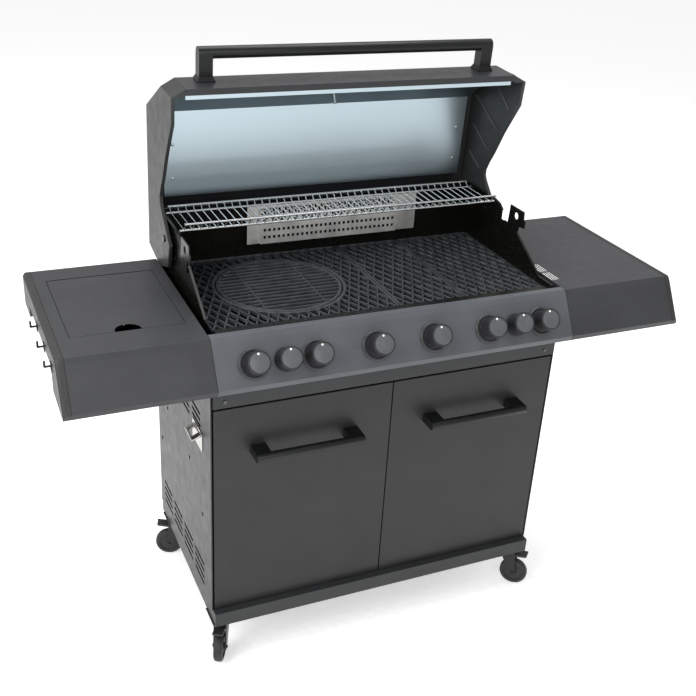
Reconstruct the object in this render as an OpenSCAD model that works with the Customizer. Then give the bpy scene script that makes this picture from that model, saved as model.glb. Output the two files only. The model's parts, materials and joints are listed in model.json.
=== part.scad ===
// Gas barbecue grill: six-burner firebox with a hinged lid on a two-door cabinet with side tables.
// X runs left to right, Y from the doors to the back, Z up from the floor. Millimetres.

/* [Overall] */
// Width across the cabinet's two side panels
cabinet_w = 932; // [780:1:1120]
// Depth of the cabinet, from the doors' faces to the back
cabinet_d = 512; // [450:1:620]
// Height of the tables' tops above the floor
work_h = 941; // [860:1:1130]
// How far each side table reaches past the cabinet
table_l = 334; // [300:1:400]

/* [Sheet metal] */
// Thickness of the folded steel sheet
sheet = 1.2; // [0.8:0.1:2]
// Thickness of the firebox's end walls
wall = 3; // [2:0.5:4]
// Height of the base plate's folded edge
base_h = 40; // [30:1:60]
// How far the base plate stands out in front of the doors
base_lip = 20; // [10:1:40]

/* [Doors] */
// Thickness of a door
door_t = 14; // [10:1:18]
// Gap between the two doors
door_gap = 3; // [2:0.5:6]
// Diameter of the doors' pivot pins
door_pin_d = 6; // [5:0.5:8]
// Length of a door handle's bar
handle_l = 277; // [180:1:330]
// Diameter of a door handle's bar
handle_d = 22; // [16:1:28]
// Distance from a door's face to the middle of its handle's bar
handle_reach = 44; // [32:1:60]

/* [Control panel] */
// Length of the panel's sloping face
panel_face = 106; // [96:1:130]
// Angle of the sloping face from upright
panel_lean = 30.8; // [20:0.1:40]
// Diameter of a knob
knob_d = 56; // [44:1:64]
// Height of a knob's face above the panel
knob_reach = 50; // [36:1:60]
// Diameter of the rings round the six main knobs
bezel_d = 73; // [68:1:76]
// Diameter of the valve stems
stem_d = 8; // [6:0.5:10]

/* [Firebox] */
// Gap between the cabinet's side and the firebox's inner face
box_margin = 20; // [18:1:30]
// Height of the cooking grates below the tables' tops
grate_drop = 16; // [10:1:30]
// Thickness of the cast grates
grate_t = 10; // [8:1:14]
// Outer diameter of a burner tube
burner_d = 30; // [24:1:36]
// Width of a flame tamer
tamer_w = 76; // [60:1:90]
// Width of the grease tray
tray_w = 456; // [300:1:520]

/* [Lid] */
// Height of the closed lid's roof above the tables' tops
lid_rise = 264; // [230:1:320]
// Opening angle of the lid
lid_swing = 86.5; // [70:0.5:90]
// Diameter of the lid handle's bar
lid_bar_d = 29; // [20:1:36]
// Distance from the lid's front face to the middle of its handle's bar
lid_bar_reach = 63.5; // [50:0.5:80]
// Diameter of the lid's hinge pins
hinge_pin_d = 8; // [6:0.5:10]

/* [Side burner] */
// Width of the side burner's lid
side_lid_w = 257; // [220:1:262]
// Depth of the side burner's lid, front to back
side_lid_d = 318; // [260:1:330]
// Depth of the side burner's bowl below the table's top
bowl_h = 62; // [50:1:75]

/* [Castors] */
// Height of a whole castor
castor_h = 125; // [112:1:150]
// Diameter of a castor's wheel
wheel_d = 80; // [66:1:86]
// Width of a castor's wheel
wheel_w = 25; // [18:1:32]
// Offset of the wheel's axle from the swivel's axis
castor_trail = 25; // [18:1:30]
// Diameter of a wheel's axle
axle_d = 8; // [6:0.5:10]

/* [Clearances] */
// Radial clearance of a pin or a shaft in its bore
running_fit = 0.05; // [0.02:0.01:0.1]
// Gap between moving pieces that only pass each other
gap = 0.8; // [0.4:0.1:1.5]
// Gap between the table's edge and the side of the lid
lid_gap = 2; // [1:0.5:3]

/* [Hidden] */
$fn = 48;
EPS = 0.01;

// Cabinet
half_w = cabinet_w / 2;
base_z = castor_h;
floor_z = base_z + base_h;
rail_z = work_h - 184;
rail_top = work_h - 106;
rail_y = -3;
door_z = floor_z + 2;
door_top = rail_z - 7;
door_edge = half_w - 7;
door_pin_x = door_edge - 8;
door_pin_y = door_t / 2;
hem_w = 3;
hem_d = 20;
stop_w = 36;
side_top = work_h - 21;
back_y = cabinet_d - 2;
base_back = cabinet_d + 5;
base_half = half_w - 3;

// Control panel, as points in Y and Z, from the top edge down the face
deck_y = -2.8;
panel_break = [deck_y - 9, work_h - 11];
panel_nose = panel_break + panel_face * [-sin(panel_lean), -cos(panel_lean)];
panel_under = panel_nose + [5, -14];
panel_back_y = 15.6;
panel_half = half_w - 0.5;
knob_drop = 56;
knob_bevel = 3.5;
knob_y = panel_break[0] - knob_drop * sin(panel_lean);
knob_z = panel_break[1] - knob_drop * cos(panel_lean);
knob_tilt = 90 - panel_lean;
bezel_t = 6;
valve_l = 44;
pipe_d = 16;
pipe_y = knob_y + (valve_l + 2) * cos(panel_lean);
pipe_z = knob_z - (valve_l + 2) * sin(panel_lean);

// Firebox
box_in = half_w - box_margin;
box_front = 50;
box_back = cabinet_d - 31;
box_floor = work_h - 181;
burner_edge = 68.5;
burner_pitch = (2 * box_in - 2 * burner_edge) / 5;
BURNERS = [for (i = [-2.5:2.5]) i * burner_pitch];
EXTRA_VALVES = [-2 * burner_pitch, 2 * burner_pitch];
VALVES = concat(BURNERS, EXTRA_VALVES);
burner_z = work_h - 84;
burner_front = box_front + 6;
burner_back = box_back - 12;
mixer_d = 18;
tamer_z = work_h - 61;
tamer_h = 18;
ledge_z = work_h - grate_drop - grate_t;
rest_gap = 0.4;
grate_y0 = box_front + 8;
grate_y1 = box_back - 4;
drip_half_x = tray_w / 2 - 30;
wall_low = box_floor - 8;
tray_h = 33;
tray_z = box_floor - 50;
tray_front = 70;
tray_half = tray_w / 2;
rail_web_x = tray_half + 4;

// Warming rack: its section, from the front rail to the back rail
rack_wire = 3.4;
rack_rail = 6;
RACK_LINE = [
    [cabinet_d - 196, work_h + 147],
    [cabinet_d - 177, work_h + 125],
    [cabinet_d - 50, work_h + 126],
    [cabinet_d - 36, work_h + 138]
];

// Grates: where the three of them meet, and their diamonds
grate_x = [-box_in, box_in / 13, box_in * 19 / 39, box_in];
rim_w = 7;
bar_w = 5;
diamond_w = 26.4;
diamond_l = 57;
insert_margin = 82;
insert_border = 40;
insert_d = min(
    grate_x[1] - grate_x[0] - 2 * insert_margin,
    grate_y1 - grate_y0 - 2 * insert_border
);
insert_x = (grate_x[0] + grate_x[1]) / 2;
insert_y = (grate_y0 + grate_y1) / 2;
insert_ring = 9;
insert_gap = 2;

// Lid, drawn closed and then turned open about its hinge
hinge_y = cabinet_d - 118;
hinge_z = work_h + 86;
cheek_out = half_w + 0.5 - lid_gap;
cheek_in = cheek_out - 8.5;
shell_half = cheek_out - 33.5;
bevel_d = 17;
lid_skin = 1.6;
lid_low = work_h + 7;
lid_brow = work_h + 105;
lid_top = work_h + lid_rise;
slope_run = 96;
SHELL_LINE = [
    [cabinet_d - 8, work_h + 173],
    [cabinet_d - 20, lid_top],
    [slope_run, lid_top],
    [0, lid_brow],
    [0, lid_low]
];
RIM_LINE = [
    [bevel_d + 1, lid_low],
    [80, work_h + 10],
    [cabinet_d - 342, work_h + 63],
    [cabinet_d - 271, work_h + 97],
    [cabinet_d - 242, work_h + 114],
    [cabinet_d - 213, work_h + 127],
    [cabinet_d - 196, work_h + 125],
    [cabinet_d - 184, work_h + 115],
    [cabinet_d - 156, work_h + 82],
    [cabinet_d - 119, work_h + 36],
    [cabinet_d - 55, work_h + 55]
];
liner_half = shell_half - 3;
lid_bar_z = work_h + 75;
lid_bar_half = shell_half - 46;
lid_post_w = 33;
lid_post_d = 30;
gauge_d = 62;

// Side tables
table_in = half_w + 0.5;
table_out = half_w + table_l;
cap_w = 18.2;
table_edge = table_out - cap_w;
table_back = cabinet_d - 34;
apron_z = work_h - 79;
skirt_z = work_h - 48;
TABLE_LINE = [
    [table_back, apron_z],
    [table_back, work_h],
    [deck_y, work_h],
    panel_break,
    panel_nose,
    panel_under,
    [60, panel_under[1]]
];
CAP_OUTLINE = [
    [table_back, apron_z],
    [table_back, work_h],
    [deck_y, work_h],
    panel_break,
    panel_nose,
    panel_under,
    [58, panel_under[1] + 8],
    [66, skirt_z],
    [table_back - 97, skirt_z],
    [table_back - 90, apron_z]
];

// Side burner, in the left table
side_x = -(table_in + table_edge) / 2;
side_lid_y = 90;
side_depth = min(side_lid_d, table_back - side_lid_y - 62);
side_cut = 1.2;
side_pin_d = 5;
side_hinge_y = side_lid_y + side_depth - 4.5;
side_hinge_z = work_h - 5;
bowl_half = side_lid_w / 2 + 3;
bowl_y0 = side_lid_y - 5;
bowl_y1 = side_lid_y + side_depth + 7;
bowl_low = work_h - bowl_h;

// Castors: name, swivel's X and Y, and the direction in which the wheel trails at rest
castor_x = half_w - 33;
castor_front = 22;
castor_back = cabinet_d - 47;
CASTORS = [
    ["front_left", -castor_x, castor_front, 241],
    ["front_right", castor_x, castor_front, 315],
    ["rear_left", -castor_x, castor_back, 162],
    ["rear_right", castor_x, castor_back, 25]
];
mount_plate = 60;
bolt_at = 22;
mount_t = 4;
stem_swivel_d = 12;
fork_t = 3;
fork_in = wheel_w / 2 + 1.5;
fork_top = castor_h - mount_t - 9;
brake_x = 13;
brake_z = fork_top - 12;
brake_pin_d = 4;

// Knobs, from left to right; the two beside the ends work the side burner and the rear burner
KNOB_X = [
    BURNERS[0], EXTRA_VALVES[0], BURNERS[1], BURNERS[2],
    BURNERS[3], BURNERS[4], EXTRA_VALVES[1], BURNERS[5]
];

// The frame's origin is the middle of the underside of the box round the open grill
function turned(p, a) = [p[0] * cos(a) - p[1] * sin(a), p[0] * sin(a) + p[1] * cos(a)];
function opened(p) = turned(p - [hinge_y, hinge_z], -lid_swing) + [hinge_y, hinge_z];
hook_reach = 17;
front_limit = knob_y - knob_reach * cos(panel_lean) - (knob_d / 2 - knob_bevel) * sin(panel_lean);
back_limit = opened(SHELL_LINE[1])[0];
shift_x = hook_reach / 2;
shift_y = -(front_limit + back_limit) / 2;

// ---- Helpers ----

function unit(v) = v / norm(v);
function left(v) = [-v[1], v[0]];
function mitre(a, b, c, t) =
    let (n = left(unit(b - a)), m = unit(n + left(unit(c - b)))) b + m * t / (m * n);

// A line of points moved sideways by t, to its left
function beside(p, t) =
    let (e = len(p) - 1)
    [for (i = [0:e])
        i == 0 ? p[0] + left(unit(p[1] - p[0])) * t :
        i == e ? p[e] + left(unit(p[e] - p[e - 1])) * t :
        mitre(p[i - 1], p[i], p[i + 1], t)];

// A closed outline moved inwards by t, where its points run anticlockwise
function inset(p, t) =
    let (n = len(p)) [for (i = [0:n - 1]) mitre(p[(i + n - 1) % n], p[i], p[(i + 1) % n], t)];
function reversed(p) = [for (i = [len(p) - 1:-1:0]) p[i]];

// The section of a sheet folded along a line of points
function folded(p, t) = concat(p, reversed(beside(p, t)));

module block(x0, x1, y0, y1, z0, z1) {
    translate([x0, y0, z0])
        cube([x1 - x0, y1 - y0, z1 - z0]);
}

// Extrudes a drawing of Y and Z along X
module along_x(x0, x1) {
    translate([x0, 0, 0])
        rotate([90, 0, 90])
            linear_extrude(x1 - x0)
                children();
}

// Extrudes a drawing of X and Z along Y
module along_y(y0, y1) {
    translate([0, y1, 0])
        rotate([90, 0, 0])
            linear_extrude(y1 - y0)
                children();
}

module rod_x(d, x0, x1, y, z) {
    translate([x0, y, z])
        rotate([0, 90, 0])
            cylinder(d = d, h = x1 - x0);
}

module rod_y(d, x, y0, y1, z) {
    translate([x, y0, z])
        rotate([-90, 0, 0])
            cylinder(d = d, h = y1 - y0);
}

module rod_z(d, x, y, z0, z1) {
    translate([x, y, z0])
        cylinder(d = d, h = z1 - z0);
}

module both_sides() {
    children();
    mirror([1, 0, 0])
        children();
}

// Puts a piece drawn in X and Y on the sloping panel, with Z along a knob's axis
module on_panel(x) {
    translate([x, knob_y, knob_z])
        rotate([knob_tilt, 0, 0])
            children();
}

// Turns the closed lid's pieces to where they stand open
module lid_open() {
    translate([0, hinge_y, hinge_z])
        rotate([-lid_swing, 0, 0])
            translate([0, -hinge_y, -hinge_z])
                children();
}

// Cuts a bevel along one edge of an outline that was extruded along X, from nothing at x0 to depth at x1
module edge_bevel(p, q, x0, x1, depth) {
    d = unit(q - p);
    n = -left(d);
    over = 40;
    more = (x1 - x0) * 0.1;
    multmatrix([
        [1, 0, 0, 0],
        [0, n[0], d[0], p[0] - over * d[0]],
        [0, n[1], d[1], p[1] - over * d[1]],
        [0, 0, 0, 1]
    ])
        linear_extrude(norm(q - p) + 2 * over)
            polygon([[x0, 0], [x1 + more, -depth * 1.1], [x1 + more, over], [x0, over]]);
}

// ---- Cabinet ----

module base_plate() {
    pad = mount_plate + 8;
    color("#3b3c3f") {
        difference() {
            block(-base_half, base_half, -base_lip, base_back, base_z, floor_z);
            block(-base_half + sheet, base_half - sheet, -base_lip + sheet, base_back - sheet,
                base_z - 1, floor_z - sheet);
            both_sides()
                rod_z(door_pin_d + 2 * running_fit, door_pin_x, door_pin_y, base_z, floor_z + 1);
        }
        for (c = CASTORS)
            difference() {
                block(c[1] - pad / 2, c[1] + pad / 2, c[2] - pad / 2, c[2] + pad / 2,
                    base_z, base_z + 2 * sheet);
                rod_z(stem_swivel_d + 6, c[1], c[2], base_z - 1, base_z + 5);
            }
        both_sides()
            for (y = [castor_front + pad / 2, castor_back - pad / 2])
                block(castor_x - pad / 2, base_half - EPS, y - sheet, y + sheet, base_z, floor_z - EPS);
    }
}

// A grid of louvre slots in a side panel: rows of slots along Y
module slot_grid(y_list, z_low, rows, pitch, slot_l, slot_h) {
    for (y = y_list, r = [0:rows - 1]) {
        z = z_low + r * pitch;
        block(-half_w - 1, -half_w + sheet + 1, y, y + slot_l, z, z + slot_h);
    }
}

module side_panel() {
    slot_l = 84;
    slot_h = 9;
    lower_pitch = (cabinet_d - 44 - slot_l - 67) / 3;
    plan = [
        [-half_w + stop_w, hem_d + sheet],
        [-half_w + stop_w, hem_d],
        [-half_w + hem_w, hem_d],
        [-half_w + hem_w, 0.8],
        [-half_w + hem_w - 0.8, 0],
        [-half_w + 1.2, 0],
        [-half_w, 1.2],
        [-half_w, cabinet_d],
        [-half_w + stop_w, cabinet_d],
        [-half_w + stop_w, cabinet_d - sheet],
        [-half_w + sheet, cabinet_d - sheet],
        [-half_w + sheet, hem_d + sheet]
    ];
    color("#75777a")
        difference() {
            translate([0, 0, floor_z])
                linear_extrude(side_top - floor_z)
                    polygon(reversed(plan));
            block(-half_w - 1, 0, -1, panel_back_y + 6, rail_top + 1 - 12, side_top + 1);
            slot_grid([for (i = [0:3]) 67 + i * lower_pitch], floor_z + 28, 4, 20.5, slot_l, slot_h);
            slot_grid([85, 183], rail_z - 115, 4, 17, 72, 8);
        }
}

module side_panel_left() {
    side_panel();
}

module side_panel_right() {
    mirror([1, 0, 0])
        side_panel();
}

module back_panel() {
    x1 = half_w - stop_w - 1;
    top = work_h - 190;
    color("#3b3c3f") {
        difference() {
            block(-x1, x1, back_y - sheet, back_y, floor_z, top + 80);
            block(-tray_half - 3, tray_half + 3, back_y - 5, back_y + 5, tray_z - 3, tray_z + tray_h + 6);
            for (x = [-x1 + 40:60:x1 - 60], r = [0:3])
                block(x, x + 38, back_y - 5, back_y + 5, floor_z + 60 + r * 22, floor_z + 68 + r * 22);
        }
        both_sides()
            block(x1 - 1, half_w - 3, back_y - 2 * sheet, back_y - sheet, floor_z, top + 60);
    }
}

module top_rail() {
    rail_half = half_w - 5;
    line = [
        [panel_back_y, rail_top],
        [rail_y, rail_top],
        [rail_y, rail_z],
        [hem_d, rail_z],
        [hem_d, rail_z + 15]
    ];
    color("#414244")
        difference() {
            along_x(-rail_half, rail_half)
                polygon(folded(line, sheet));
            both_sides() {
                rod_z(door_pin_d + 2 * running_fit, door_pin_x, door_pin_y, rail_z - 1, rail_z + 4);
                block(rail_half - 12, half_w, 0.5 - EPS, hem_d + 2, rail_z + 3, rail_top + 2);
            }
        }
}

module castor_plates() {
    color("#2a2a2c")
        for (c = CASTORS)
            translate([c[1], c[2], castor_h - mount_t])
                difference() {
                    union() {
                        translate([-mount_plate / 2, -mount_plate / 2, 0])
                            cube([mount_plate, mount_plate, mount_t]);
                        translate([0, 0, -5])
                            cylinder(d = 30, h = 5 + EPS);
                    }
                    translate([0, 0, -6])
                        cylinder(d = stem_swivel_d + 2 * running_fit, h = mount_t + 8);
                    for (x = [-1, 1], y = [-1, 1])
                        translate([x * bolt_at, y * bolt_at, -1])
                            cylinder(d = 7, h = mount_t + 2);
                }
}

// ---- Castors ----

// Puts a castor's piece, drawn with its swivel's axis as Z and trailing along X, at its corner
module at_castor(c) {
    translate([c[1], c[2], 0])
        rotate([0, 0, c[3]])
            children();
}

module castor_fork(c) {
    axle_z = wheel_d / 2;
    cheek = [
        [-20, fork_top],
        [castor_trail - 9, axle_z - 5],
        [castor_trail - 5, axle_z - 9],
        [castor_trail + 5, axle_z - 9],
        [castor_trail + 9, axle_z - 5],
        [24, fork_top]
    ];
    color("#262628")
        at_castor(c) {
            translate([-20, -fork_in - fork_t, fork_top - 4])
                cube([44, 2 * (fork_in + fork_t), 4]);
            for (s = [-1, 1])
                along_y(s > 0 ? fork_in : -fork_in - fork_t, s > 0 ? fork_in + fork_t : -fork_in)
                    polygon(cheek);
            translate([0, 0, fork_top - EPS])
                cylinder(d = 28, h = 3.4);
            translate([0, 0, fork_top])
                cylinder(d = stem_swivel_d, h = castor_h + 6 - fork_top);
            rod_y(axle_d, castor_trail, -fork_in - fork_t - 3, fork_in + fork_t + 3, axle_z);
            rod_y(brake_pin_d, brake_x, -fork_in - fork_t, fork_in + fork_t, brake_z);
        }
}

module castor_wheel(c) {
    hub_w = wheel_w / 2;
    tyre_r = wheel_d / 2;
    profile = [
        [axle_d / 2 + running_fit, -hub_w],
        [15, -hub_w],
        [17, -hub_w + 4],
        [tyre_r - 9, -hub_w + 4],
        [tyre_r - 7, -hub_w + 1],
        [tyre_r - 3, -hub_w + 1],
        [tyre_r, -hub_w + 5]
    ];
    color("#1c1c1e")
        at_castor(c)
            translate([castor_trail, 0, tyre_r])
                rotate([90, 0, 0])
                    rotate_extrude()
                        polygon(concat(profile, reversed([for (p = profile) [p[0], -p[1]]])));
}

// The brake lever, on a cross pin just under the fork's crown
module castor_brake(c) {
    arm = [
        [brake_x - 5, brake_z - 4],
        [brake_x + 6, brake_z - 4],
        [brake_x + 40, brake_z + 2],
        [brake_x + 46, brake_z + 5],
        [brake_x + 45, brake_z + 9],
        [brake_x + 12, brake_z + 4],
        [brake_x - 5, brake_z + 4]
    ];
    color("#323234")
        at_castor(c)
            difference() {
                along_y(-fork_in + 0.5, fork_in - 0.5)
                    polygon(arm);
                rod_y(brake_pin_d + 2 * running_fit, brake_x, -fork_in, fork_in, brake_z);
            }
}

// ---- Control panel ----

module control_panel() {
    line = [
        [panel_back_y, work_h - 34],
        [panel_back_y, work_h],
        [deck_y, work_h],
        panel_break,
        panel_nose,
        panel_under,
        [rail_y, panel_under[1]]
    ];
    color("#63676d")
        difference() {
            union() {
                along_x(-panel_half, panel_half)
                    polygon(folded(line, sheet));
                both_sides()
                    along_x(panel_half - sheet, panel_half)
                        polygon(concat(line, [[rail_y, panel_under[1] + 20]]));
            }
            for (x = VALVES)
                on_panel(x)
                    translate([0, 0, -8])
                        cylinder(d = stem_d + 4, h = 16);
        }
}

module knob_bezels() {
    color("#55585c")
        for (x = BURNERS)
            on_panel(x)
                rotate_extrude()
                    polygon([
                        [stem_d / 2 + 3, 0],
                        [bezel_d / 2, 0],
                        [bezel_d / 2, bezel_t - 3],
                        [bezel_d / 2 - 2, bezel_t],
                        [bezel_d / 2 - 7, bezel_t],
                        [bezel_d / 2 - 8, bezel_t - 2],
                        [stem_d / 2 + 3, bezel_t - 2]
                    ]);
}

module knob(i) {
    low = bezel_t + gap;
    r = knob_d / 2;
    color("#3a3b3e")
        on_panel(KNOB_X[i]) {
            difference() {
                rotate_extrude()
                    polygon([
                        [0, knob_reach],
                        [r - knob_bevel, knob_reach],
                        [r - 2, knob_reach - 1.5],
                        [r, low],
                        [r - 2.5, low],
                        [r - 4.5, knob_reach - 4],
                        [9, knob_reach - 4],
                        [9, low + 6],
                        [0, low + 6]
                    ]);
                translate([0, r - 9, knob_reach - 1])
                    cylinder(d = 4, h = 2);
            }
            translate([0, 0, -20])
                cylinder(d = stem_d, h = 20 + low + 7);
        }
}

module gas_manifold() {
    pipe_half = BURNERS[5] + 45;
    body_d = 24;
    color("#b08d57") {
        rod_x(pipe_d, -pipe_half, pipe_half, pipe_y, pipe_z);
        rod_x(pipe_d + 8, pipe_half - EPS, pipe_half + 12, pipe_y, pipe_z);
        rod_x(pipe_d - 4, pipe_half, pipe_half + 24, pipe_y, pipe_z);
        for (x = VALVES)
            on_panel(x)
                translate([0, 0, -valve_l])
                    difference() {
                        cylinder(d = body_d, h = valve_l - 6);
                        translate([0, 0, valve_l - 26])
                            cylinder(d = stem_d + 2 * running_fit, h = 30);
                    }
        for (x = BURNERS)
            rod_y(10, x, pipe_y, box_front - 18, burner_z);
    }
}

// ---- Firebox ----

module firebox_tub() {
    tub_line = [
        [box_back + 13, work_h + 130],
        [box_back, work_h + 130],
        [box_back, box_floor + 34],
        [cabinet_d / 2 + 80, box_floor],
        [cabinet_d / 2 - 80, box_floor],
        [box_front, box_floor + 34],
        [box_front, work_h - 9],
        [panel_back_y + 4, work_h - 9]
    ];
    line = reversed(tub_line);
    rail_x = rail_web_x;
    web_low = tray_z - rest_gap;
    color("#232325") {
        difference() {
            along_x(-box_in, box_in)
                polygon(folded(line, sheet));
            block(-drip_half_x, drip_half_x, cabinet_d / 2 - 70, cabinet_d / 2 + 70,
                box_floor - 5, box_floor + 5);
            for (x = BURNERS)
                rod_y(mixer_d + 2, x, box_front - 3, box_front + 5, burner_z);
        }
        block(-box_in, box_in, box_front + sheet - EPS, box_front + 14, ledge_z - 2, ledge_z - rest_gap);
        block(-box_in, box_in, box_back - 11, box_back - sheet + EPS, ledge_z - 2, ledge_z - rest_gap);
        both_sides() {
            along_y(tray_front, back_y - 8)
                polygon([
                    [rail_x - 14, web_low - 1.6],
                    [rail_x + 1.6, web_low - 1.6],
                    [rail_x + 1.6, box_floor - 10],
                    [rail_x, box_floor - 10],
                    [rail_x, web_low],
                    [rail_x - 14, web_low]
                ]);
            for (y = [cabinet_d / 2 - 60, cabinet_d / 2 + 40])
                block(rail_x, rail_x + 1.6, y, y + 20, box_floor - 12, box_floor + EPS);
        }
    }
}

module firebox_ends() {
    back = box_back + 1;
    top_line = [
        [27, work_h + 1],
        [91, work_h + 1],
        [109, work_h + 12],
        [cabinet_d - 288, work_h + 80],
        [cabinet_d - 233, work_h + 89],
        [cabinet_d - 233, work_h + 86],
        [cabinet_d - 214, work_h + 86],
        [cabinet_d - 214, work_h + 111],
        [cabinet_d - 197, work_h + 124],
        [cabinet_d - 168, work_h + 130],
        [back, work_h + 130]
    ];
    outline = concat(top_line, [[back, wall_low], [box_front - 2, wall_low], [box_front - 2, work_h - 40],
        [27, work_h - 20]]);
    front_line = [top_line[0], top_line[1], top_line[2], top_line[3]];
    rear_line = [top_line[7], top_line[8], top_line[9], top_line[10]];
    color("#262628")
        both_sides()
            difference() {
                union() {
                    along_x(box_in, box_in + wall)
                        polygon(outline);
                    for (l = [front_line, rear_line])
                        along_x(box_in + wall - EPS, box_in + 2 * wall)
                            polygon(folded(reversed(l), wall / 2));
                    for (p = [RACK_LINE[1], RACK_LINE[2]])
                        block(box_in - 8, box_in + EPS, p[0] - 8, p[0] + 8,
                            p[1] - rack_rail / 2 - rest_gap - 3, p[1] - rack_rail / 2 - rest_gap);
                }
                rod_x(hinge_pin_d, box_in - 1, box_in + 2 * wall, hinge_y, hinge_z);
            }
}

module burners() {
    color("#8d8f92")
        for (x = BURNERS) {
            difference() {
                rod_y(burner_d, x, burner_front, burner_back, burner_z);
                rod_y(burner_d - 2 * sheet, x, burner_front + 2, burner_back - 2, burner_z);
                rod_y(mixer_d - 2 * sheet, x, burner_front - 2, burner_front + 4, burner_z);
            }
            difference() {
                rod_y(mixer_d, x, box_front - 17, burner_front + EPS, burner_z);
                rod_y(mixer_d - 2 * sheet, x, box_front - 20, burner_front + 4, burner_z);
            }
        }
}

module flame_tamers() {
    half = tamer_w / 2;
    color("#6b6d70")
        for (x = BURNERS)
            translate([x, 0, tamer_z])
                along_y(box_front + 12, box_back - 12)
                    polygon(folded([[half, -6], [half, 0], [0, tamer_h], [-half, 0], [-half, -6]], sheet));
}

module rear_burner() {
    box_half = box_in * 0.44;
    depth = 30;
    low = work_h + 26;
    high = work_h + 82;
    front = box_back - sheet - 11 - depth;
    outline = [
        [front + depth, low - 4],
        [front + depth, high + 34],
        [front + 12, high + 16],
        [front, high],
        [front, low]
    ];
    color("#a9aeb2") {
        difference() {
            along_x(-box_half, box_half)
                polygon(outline);
            for (x = [-box_half + 12:16:box_half - 20])
                block(x, x + 9, front - 1, front + 3, low + 14, low + 22);
            for (x = [-box_half + 12:16:box_half - 20])
                block(x, x + 9, front - 1, front + 3, low + 34, low + 42);
        }
        block(-box_half - 28, box_half + 74, front + depth - EPS, front + depth + sheet,
            low - 10, work_h + 124);
        for (x = [-box_half + 10, box_half - 30])
            block(x, x + 20, front + depth, box_back - sheet, low + 20, low + 40);
    }
}

module rotisserie_brackets() {
    x0 = box_in + wall + 0.3;
    hole = [cabinet_d - 275.5, work_h + 115];
    outline = [
        [cabinet_d - 243, work_h + 137],
        [cabinet_d - 310, work_h + 137],
        [cabinet_d - 312, work_h + 117],
        [cabinet_d - 320, work_h + 112],
        [cabinet_d - 319, work_h + 94],
        [cabinet_d - 293, work_h + 90],
        [cabinet_d - 288, work_h + 60],
        [cabinet_d - 236, work_h + 60]
    ];
    color("#2c2c2e")
        both_sides() {
            difference() {
                along_x(x0 + 2.8, x0 + 2.8 + 3)
                    polygon(outline);
                rod_x(19, x0, x0 + 8, hole[0], hole[1]);
            }
            block(x0 - 0.3, x0 + 2.8 + EPS, cabinet_d - 284, cabinet_d - 240, work_h + 60, work_h + 74);
        }
}

// ---- Grates ----

// A rim with a lattice of diamonds between x0 and x1, drawn flat
module lattice(x0, x1, y0, y1) {
    inner_w = x1 - x0 - 2 * rim_w;
    inner_d = y1 - y0 - 2 * rim_w;
    cells = round(inner_w / diamond_w);
    rows = round(inner_d / diamond_l);
    half = [inner_w / cells, inner_d / rows] / 2;
    open = half * (1 - bar_w / 2 * norm(half) / (half[0] * half[1]));
    difference() {
        translate([x0, y0])
            square([x1 - x0, y1 - y0]);
        for (i = [1:2 * cells - 1], j = [1:2 * rows - 1])
            if ((i + j) % 2 == 0)
                translate([x0 + rim_w + i * half[0], y0 + rim_w + j * half[1]])
                    polygon([[open[0], 0], [0, open[1]], [-open[0], 0], [0, -open[1]]]);
    }
}

module grate(i) {
    translate([0, 0, ledge_z])
        linear_extrude(grate_t)
            lattice(grate_x[i] + gap, grate_x[i + 1] - gap, grate_y0, grate_y1);
}

module grate_left() {
    r = insert_d / 2 + insert_gap;
    color("#1d1e20") {
        difference() {
            grate(0);
            rod_z(2 * r + 16, insert_x, insert_y, ledge_z - 1, ledge_z + grate_t + 1);
        }
        difference() {
            rod_z(2 * r + 18, insert_x, insert_y, ledge_z, ledge_z + grate_t);
            rod_z(2 * r, insert_x, insert_y, ledge_z - 1, ledge_z + grate_t + 1);
        }
        for (a = [45:90:315])
            translate([insert_x, insert_y, ledge_z])
                rotate([0, 0, a])
                    translate([r - 10, -8, 0])
                        cube([14, 16, 2.6]);
    }
}

module grate_insert() {
    r = insert_d / 2;
    bars = 15;
    pitch = (insert_d - insert_ring) / (bars + 1);
    color("#1d1e20")
        translate([insert_x, insert_y, ledge_z + 3])
            difference() {
                cylinder(r = r, h = grate_t - 3);
                translate([0, 0, -1])
                    linear_extrude(grate_t)
                        intersection() {
                            circle(r = r - insert_ring);
                            for (i = [0:bars])
                                translate([-r, (i - (bars + 1) / 2) * pitch + bar_w / 2])
                                    square([insert_d, pitch - bar_w]);
                        }
            }
}

module grate_middle() {
    color("#1d1e20")
        grate(1);
}

module grate_right() {
    color("#1d1e20")
        grate(2);
}

module warming_rack() {
    wire = rack_wire;
    lower_half = box_in - 5;
    upper_half = box_in - 13;
    bars = 24;
    color("#b9bdc1") {
        rod_x(rack_rail, -upper_half, upper_half, RACK_LINE[0][0], RACK_LINE[0][1]);
        rod_x(rack_rail, -lower_half, lower_half, RACK_LINE[1][0], RACK_LINE[1][1]);
        rod_x(rack_rail, -lower_half, lower_half, RACK_LINE[2][0], RACK_LINE[2][1]);
        rod_x(rack_rail, -upper_half, upper_half, RACK_LINE[3][0], RACK_LINE[3][1]);
        for (i = [0:bars - 1]) {
            x = -upper_half + 4 + i * (2 * upper_half - 8) / (bars - 1);
            along_x(x - wire / 2, x + wire / 2)
                polygon(folded(beside(RACK_LINE, -wire / 2), wire));
        }
    }
}

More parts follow.
